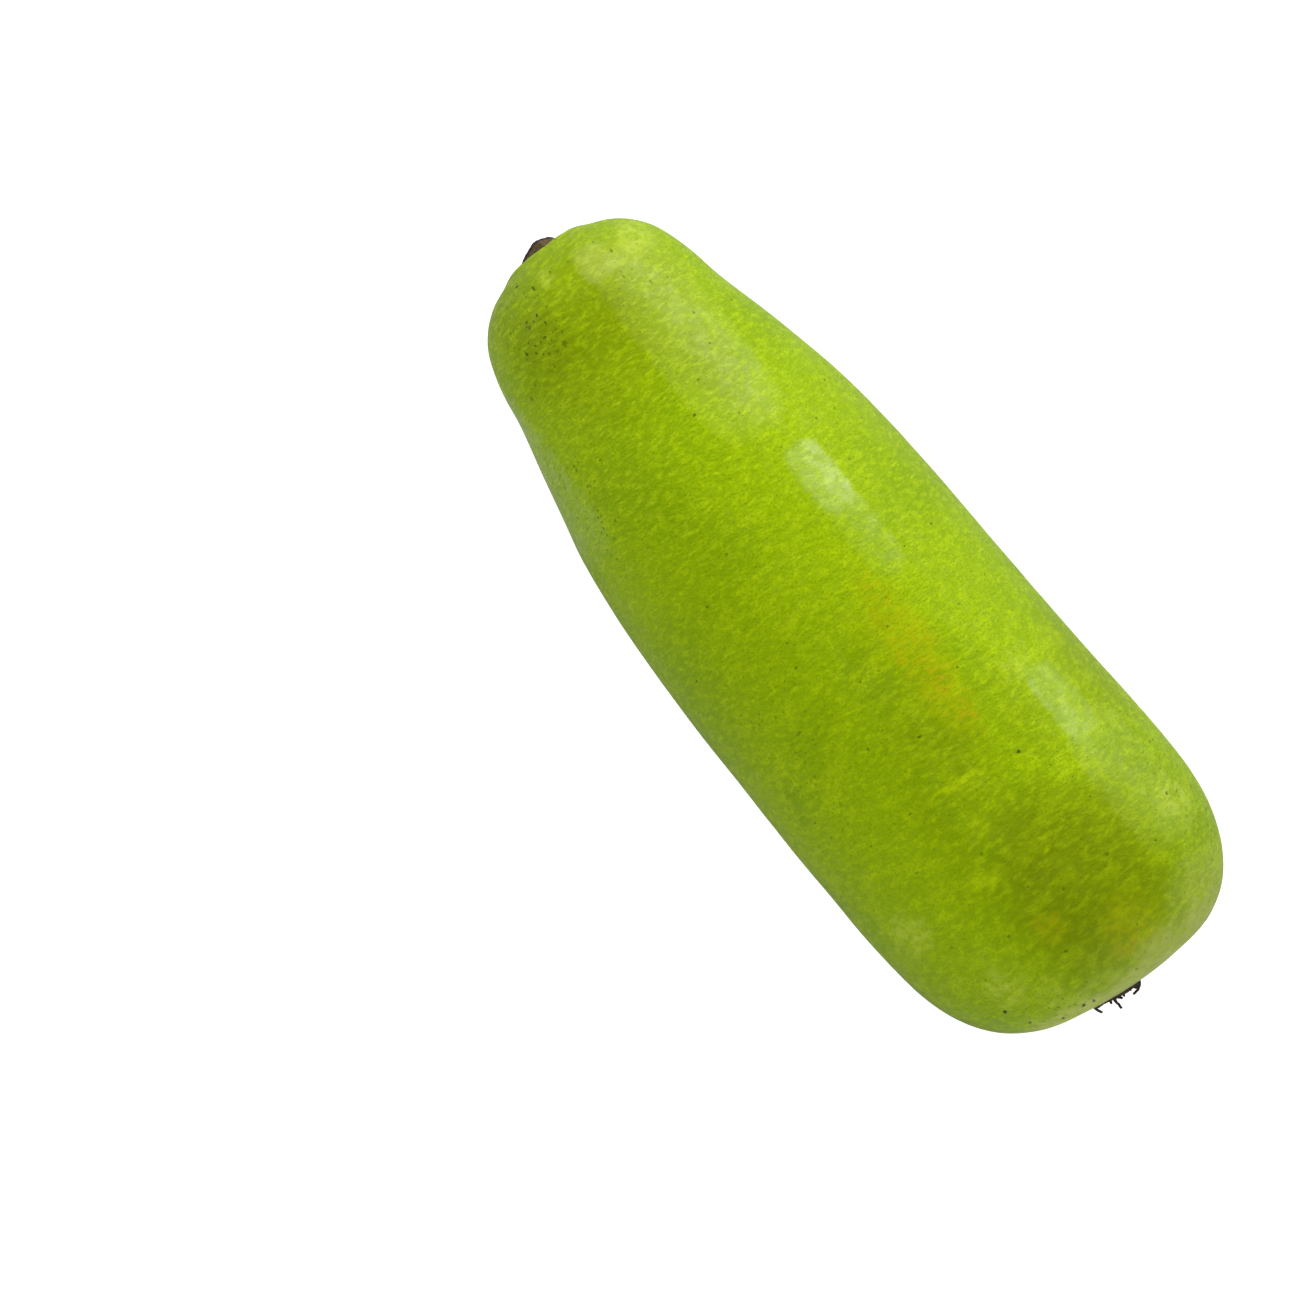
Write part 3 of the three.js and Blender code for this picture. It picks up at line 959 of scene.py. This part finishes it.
def rind_material(blotches, specks):
    material, net, shader = new_material("waxy green rind")
    place = net.surface_place()
    at_home = net.vector("SUBTRACT", place, tuple(ORIGIN / MM))
    along = net.attribute("along")
    unrolled = net.combine(SPECK_SQUEEZE * along, BELLY_RADIUS * net.attribute("turn"), 0.0)
    upper = net.ramp(net.split(place)[2], *UPPER_REACH)
    on_neck = net.fade(along, *NECK_FADE)
    on_belly = net.ramp(along, *BELLY_REACH)
    on_side = net.fade(along, *SIDE_FADE)

    def clouds(name):
        return cloud(net, blotches, place, name)

    def strayed(scale, distance):
        """The place, moved about by as much as half the distance, so that edges wander."""
        return net.vector("ADD", at_home, net.scaled(net.stray(place, scale, 4.0, 0.6), distance))

    loose = strayed(0.2, 9.0)
    tight = strayed(0.5, 3.0)
    crumbled = strayed(1.6, 1.0)

    def zones(places, at=loose, inner=0.0, square=False):
        """Ovals on the upper side, soft from their inner edge outwards, or oblongs with rounded corners."""
        total = 0.0
        for x, y, length, width, strength in places:
            middle, size = (x, y, 0.0), (1 / length, 1 / width, 0.0)
            away = net.vector("MULTIPLY", net.vector("SUBTRACT", at, middle), size)
            if square:
                away = net.vector("MULTIPLY", away, away)
            reach = net.node("ShaderNodeVectorMath", {0: away, 1: away}, operation="DOT_PRODUCT")
            total = strength * net.fade(net.term(reach, "Value"), inner, 1.0) + total
        return total * upper

    def speckled(row):
        spacing, radius, share = row
        mask = use_group(net, specks, Place=unrolled, Spacing=spacing, Radius=radius, Share=share)
        return on_side * net.term(mask)

    # The green ground with its flecks
    shaded = zones(SHADE_ZONES)
    colour = net.blend(0.5 * clouds("green areas"), RIND_GROUND, RIND_DEEP)
    colour = net.blend(net.math("MINIMUM", 1.1 * shaded, 1.0), colour, RIND_SHADE)
    patches = clouds("lime patches")
    colour = net.blend(0.45 * patches * (0.25 + 0.75 * on_belly), colour, RIND_LIME)
    colour = net.blend(0.62 * clouds("lime flecks"), colour, RIND_LIME)
    colour = net.blend(0.45 * clouds("deep flecks"), colour, RIND_DEEP)
    streaks = clouds("pale streaks")
    colour = net.blend(0.5 * streaks * (0.5 + 0.5 * on_neck), colour, RIND_STREAK)
    grain = clouds("fine grain")
    colour = net.blend(0.6 * grain, colour, RIND_DEEP)
    colour = net.blend(0.5 * shaded, colour, RIND_SHADE)

    # The marks in their zones
    freckles = clouds("freckles")
    colour = net.blend(zones(YELLOW_ZONES) * (0.25 + 0.75 * freckles), colour, RIND_YELLOW)
    colour = net.blend(zones(RUST_ZONES) * freckles, colour, RIND_RUST)
    colour = net.blend(zones(LIME_MARKS) * clouds("in lime marks"), colour, RIND_BRIGHT)
    # Chalky pale marks, two of them painted highlights
    colour = net.blend(zones(PALE_MARK_AND_HIGHLIGHT_ZONES) * clouds("in pale zones"), colour, RIND_CHALK_AND_HIGHLIGHT)
    # Painted highlight: pale colour put into the rind where the highlights fall
    painted_highlight = zones(PAINTED_HIGHLIGHT_ZONES, tight, inner=0.4, square=True)
    colour = net.blend(painted_highlight * (0.5 + 0.5 * streaks), colour, RIND_PAINTED_HIGHLIGHT)

    # The pale bloom, partly a painted reflection of the rim, and the darker brown low down at the blossom end
    cloudy = 0.5 + 0.5 * clouds("in bloom and reflection")
    at_blossom_end = net.ramp(along + 5 * clouds("edge of bloom and reflection"), *BLOOM_AND_REFLECTION_REACH)
    # Partly pale bloom, partly a painted reflection of the rim at the blossom end
    colour = net.blend(0.7 * at_blossom_end * cloudy, colour, RIND_BLOOM_AND_REFLECTION)
    colour = net.blend(zones(BLOOM_AND_REFLECTION_ZONES) * cloudy, colour, RIND_BLOOM_AND_REFLECTION)
    # Darker brown low down on one side of the blossom end
    home = net.split(at_home)
    low_down = net.fade(home[2], *LOW_BROWN_UP_FADE) * net.fade(home[1], *LOW_BROWN_ACROSS_FADE)
    low_brown = low_down * net.ramp(along, *LOW_BROWN_REACH)
    colour = net.blend(0.7 * low_brown * (0.6 + 0.4 * patches), colour, RIND_BROWN)

    # The specks, and the painted shade in the creases
    pores = speckled(PORES)
    marks = speckled(SPARSE_SPECKS) + speckled(CROWDED_SPECKS) * zones(SPECK_ZONES)
    colour = net.blend(0.45 * pores, colour, RIND_SPECK)
    colour = net.blend(0.85 * marks, colour, RIND_SPECK)
    colour = net.blend(zones(DARK_SPOTS, crumbled, inner=0.2), colour, RIND_SPECK)
    # Painted shade darkens the deep creases at the stem end
    crease_shade = net.ramp(net.attribute("cut"), *CREASE_SHADE_REACH) * net.fade(along, *CREASE_SHADE_FADE)
    colour = net.blend(0.8 * crease_shade, colour, RIND_CREASE_SHADE)
    net.plug(shader.inputs["Base Color"], colour)

    # The wax, and the fine relief
    smooth = zones(SHINY_ZONES, tight, inner=0.12, square=True) + 0.35 * at_blossom_end
    shine = net.math("MINIMUM", smooth, 1.0)
    broken = clouds("broken wax")
    coat = shine * (0.55 + 0.45 * broken) * (0.45 + 0.55 * grain) + 0.03 * broken
    net.plug(shader.inputs["Roughness"], net.ramp(broken, 0, 1, 0.5, 0.42))
    net.plug(shader.inputs["Coat Weight"], coat)
    shader.inputs["Coat Roughness"].default_value = 0.3
    shader.inputs["Specular IOR Level"].default_value = 0.18
    shader.inputs["Specular Tint"].default_value = (0.9, 0.85, 0.06, 1)
    relief = 0.1 * clouds("fine relief") + 0.07 * clouds("soft relief") - 0.05 * pores - 0.06 * marks
    bump = net.node("ShaderNodeBump", {"Height": relief, "Distance": MM, "Strength": 1.0})
    net.plug(shader.inputs["Normal"], bump.outputs[0])
    return material


STEM_GREEN = (0.13, 0.17, 0.012, 1)
STEM_PALE = (0.30, 0.30, 0.10, 1)
STEM_BROWN = (0.115, 0.058, 0.032, 1)
CUT_BROWN = (0.085, 0.045, 0.04, 1)
CUT_DARK = (0.018, 0.011, 0.012, 1)
STEM_BROWN_FADE = (1.5, 6.0)
CUT_COLOUR_FADE = (-2.6, -1.9)
CUT_RIM_REACH = (4.2, 5.4)
FIBRE_STRETCH = (0.3, 1.0, 1.0)


def stem_material(blotches):
    material, net, shader = new_material("cut green stem")
    place = net.surface_place()
    along = net.attribute("along")
    colour = net.blend(cloud(net, blotches, place, "pale stem"), STEM_GREEN, STEM_PALE)
    browned = net.fade(along + 2 * cloud(net, blotches, place, "edge of brown"), *STEM_BROWN_FADE)
    colour = net.blend(0.85 * browned, colour, STEM_BROWN)
    face = net.blend(cloud(net, blotches, place, "cut face"), CUT_DARK, CUT_BROWN)
    face = net.blend(0.6 * net.ramp(net.attribute("radius"), *CUT_RIM_REACH), face, CUT_DARK)
    colour = net.blend(net.fade(along, *CUT_COLOUR_FADE), colour, face)
    drawn_out = net.vector("MULTIPLY", place, FIBRE_STRETCH)
    colour = net.blend(0.45 * cloud(net, blotches, drawn_out, "stem fibres"), colour, CUT_DARK)
    net.plug(shader.inputs["Base Color"], colour)
    shader.inputs["Roughness"].default_value = 0.8
    shader.inputs["Specular IOR Level"].default_value = 0.25
    height = 0.15 * cloud(net, blotches, place, "stem relief")
    bump = net.node("ShaderNodeBump", {"Height": height, "Distance": MM, "Strength": 0.9})
    net.plug(shader.inputs["Normal"], bump.outputs[0])
    return material


DRY_BROWN = (0.05, 0.035, 0.03, 1)
DRY_DARK = (0.010, 0.008, 0.007, 1)
DRY_RED = (0.095, 0.05, 0.036, 1)


def dry_material(blotches):
    material, net, shader = new_material("dry blossom")
    place = net.surface_place()
    flecks = cloud(net, blotches, place, "dry flecks")
    colour = net.blend(flecks, DRY_DARK, DRY_BROWN)
    colour = net.blend(0.5 * cloud(net, blotches, place, "dry patches"), colour, DRY_RED)
    net.plug(shader.inputs["Base Color"], colour)
    shader.inputs["Roughness"].default_value = 0.85
    shader.inputs["Specular IOR Level"].default_value = 0.2
    bump = net.node("ShaderNodeBump", {"Height": 0.1 * flecks, "Distance": MM, "Strength": 0.9})
    net.plug(shader.inputs["Normal"], bump.outputs[0])
    return material


# Profiles of the stub and of the scar: place along the axis, radius.
# The stub points towards the stem end, so its places get less outwards.
STUB_PROFILE = [
    (10.4, 0.0),
    (10.4, STUB_BASE_RADIUS - 0.6),
    (9.5, STUB_BASE_RADIUS),
    (7.6, 8.7),
    (5.0, 7.7),
    (2.0, 6.95),
    (-0.8, STUB_CUT_RADIUS),
    (-2.0, STUB_CUT_RADIUS - 0.1),
    (-STUB_PROUD + 0.3, STUB_CUT_RADIUS - 0.7),
    (-STUB_PROUD, STUB_CUT_RADIUS - 1.6),
    (-STUB_PROUD + 0.5, 3.2),
    (-STUB_PROUD + 0.3, 1.6),
    (-STUB_PROUD + 0.5, 0.0),
]
SCAR_PROFILE = [
    (-0.6, 0.0),
    (-0.6, SCAR_RADIUS - 0.6),
    (0.0, SCAR_RADIUS),
    (SCAR_PROUD + 0.1, SCAR_RADIUS - 0.5),
    (SCAR_PROUD + 0.4, SCAR_RADIUS - 1.2),
    (SCAR_PROUD + 0.2, SCAR_RADIUS - 2.8),
    (SCAR_PROUD + 0.2, 2.9),
    (SCAR_PROUD + 0.6, 1.6),
    (SCAR_PROUD + 0.4, 0.0),
]

skin = turned_skin_group()
placed = placed_group()
blotches = soft_blotches_group()

grown(
    "rind",
    profile_object("meridian", curve_through(MERIDIAN)),
    rind_tree(skin, placed, crease_group()),
    "rind",
    "gourd_body",
    Rings=RIND_RINGS,
    Segments=RIND_SEGMENTS,
    Material=rind_material(blotches, specks_group()),
)
grown(
    "stem_piece",
    profile_object("stub_profile", curve_through(STUB_PROFILE)),
    stub_tree(skin, placed),
    "stem",
    "stem_stub",
    Rings=STUB_RINGS,
    Segments=STUB_SEGMENTS,
    Material=stem_material(blotches),
)
grown(
    "dry_scar",
    profile_object("scar_profile", curve_through(SCAR_PROFILE)),
    scar_tree(skin, thread_group()),
    "dry_blossom",
    "blossom_remnant",
    Rings=SCAR_RINGS,
    Segments=SCAR_SEGMENTS,
    Material=dry_material(blotches),
)

# Camera: straight above, turned so that the fruit lies across the picture as it does in the photo.
# The axis of the fruit runs AXIS_ACROSS to the picture's right and AXIS_DOWN downwards, as a unit vector.
PICTURE = 1300
PIXELS_PER_MM = 3.64
LENS = 150
SENSOR = 36
AXIS_ACROSS = 0.6121
AXIS_DOWN = 0.7908
PICTURE_MIDDLE = (105.0, -42.85)
MID_HEIGHT = 48
FAR_CLIP = 20


def make_camera():
    data = bpy.data.cameras.new("camera")
    data.lens = LENS
    data.sensor_width = SENSOR
    camera = bpy.data.objects.new("camera", data)
    bpy.context.scene.collection.objects.link(camera)
    distance = PICTURE / PIXELS_PER_MM / SENSOR * LENS * MM
    right = Vector((AXIS_ACROSS, AXIS_DOWN, 0))
    up = Vector((-AXIS_DOWN, AXIS_ACROSS, 0))
    back = Vector((0, 0, 1))
    matrix = Matrix((right, up, back)).transposed().to_4x4()
    x, y = PICTURE_MIDDLE
    middle = Vector((ORIGIN.x + x * MM, ORIGIN.y + y * MM, MID_HEIGHT * MM))
    matrix.translation = middle + back * distance
    camera.matrix_world = matrix
    data.clip_end = FAR_CLIP
    bpy.context.scene.camera = camera


make_camera()

# Softboxes: name, heading in degrees from +X towards +Y, height in degrees,
# width, height and distance in metres, watts
AIM_HEIGHT = 0.05
SOFTBOXES = [
    ("key", 117, 22, 1.3, 0.7, 1.5, 20),
    ("stem_side", 180, 35, 0.7, 0.7, 1.5, 7),
    ("overhead", 270, 84, 1.2, 1.2, 1.5, 8),
    ("high_side", 100, 52, 1.2, 0.8, 1.5, 3.5),
    ("horizon", 95, 4, 1.6, 0.25, 1.5, 3.5),
    ("low_fill", 305, 14, 0.9, 0.4, 1.5, 5),
    ("blossom_side", 0, 12, 0.8, 0.4, 1.5, 7.5),
    ("window", 215, 12, 0.8, 0.4, 1.5, 6.5),
]


def add_softboxes():
    for name, heading, height, width, tall, distance, watts in SOFTBOXES:
        towards = direction(math.radians(heading), math.radians(height))
        data = bpy.data.lights.new(name, "AREA")
        data.shape = "RECTANGLE"
        data.size = width
        data.size_y = tall
        data.energy = watts
        light = bpy.data.objects.new(name, data)
        light.location = Vector((0, 0, AIM_HEIGHT)) + towards * distance
        light.rotation_euler = towards.to_track_quat("Z", "Y").to_euler()
        bpy.context.scene.collection.objects.link(light)


# The floor: half its side in metres, how far below the fruit it is, its grey and its glow to the camera
FLOOR_HALF = 2.0
FLOOR_DROP = 0.2
FLOOR_GREY = (0.5, 0.5, 0.5, 1)
FLOOR_GLOW = 0.85
ROOM_LIGHT = 0.08


def add_floor():
    mesh = bpy.data.meshes.new("floor")
    sides = [(-1, -1), (1, -1), (1, 1), (-1, 1)]
    corners = [(x * FLOOR_HALF, y * FLOOR_HALF, -FLOOR_DROP * MM) for x, y in sides]
    mesh.from_pydata(corners, [], [(0, 1, 2, 3)])
    floor = bpy.data.objects.new("floor", mesh)
    bpy.context.scene.collection.objects.link(floor)
    material, net, shader = new_material("pale studio floor")
    net.plug(shader.inputs["Base Color"], FLOOR_GREY)
    shader.inputs["Roughness"].default_value = 1.0
    shader.inputs["Specular IOR Level"].default_value = 0.0
    seen = net.term(net.node("ShaderNodeLightPath"), "Is Camera Ray")
    net.plug(shader.inputs["Emission Color"], (1, 1, 1, 1))
    net.plug(shader.inputs["Emission Strength"], FLOOR_GLOW * seen)
    mesh.materials.append(material)


def make_room():
    world = bpy.data.worlds.new("dim_room")
    bpy.context.scene.world = world
    world.use_nodes = True
    background = world.node_tree.nodes["Background"]
    background.inputs["Color"].default_value = (1, 1, 1, 1)
    background.inputs["Strength"].default_value = ROOM_LIGHT
    bpy.context.scene.view_settings.view_transform = "Standard"


add_softboxes()
add_floor()
make_room()
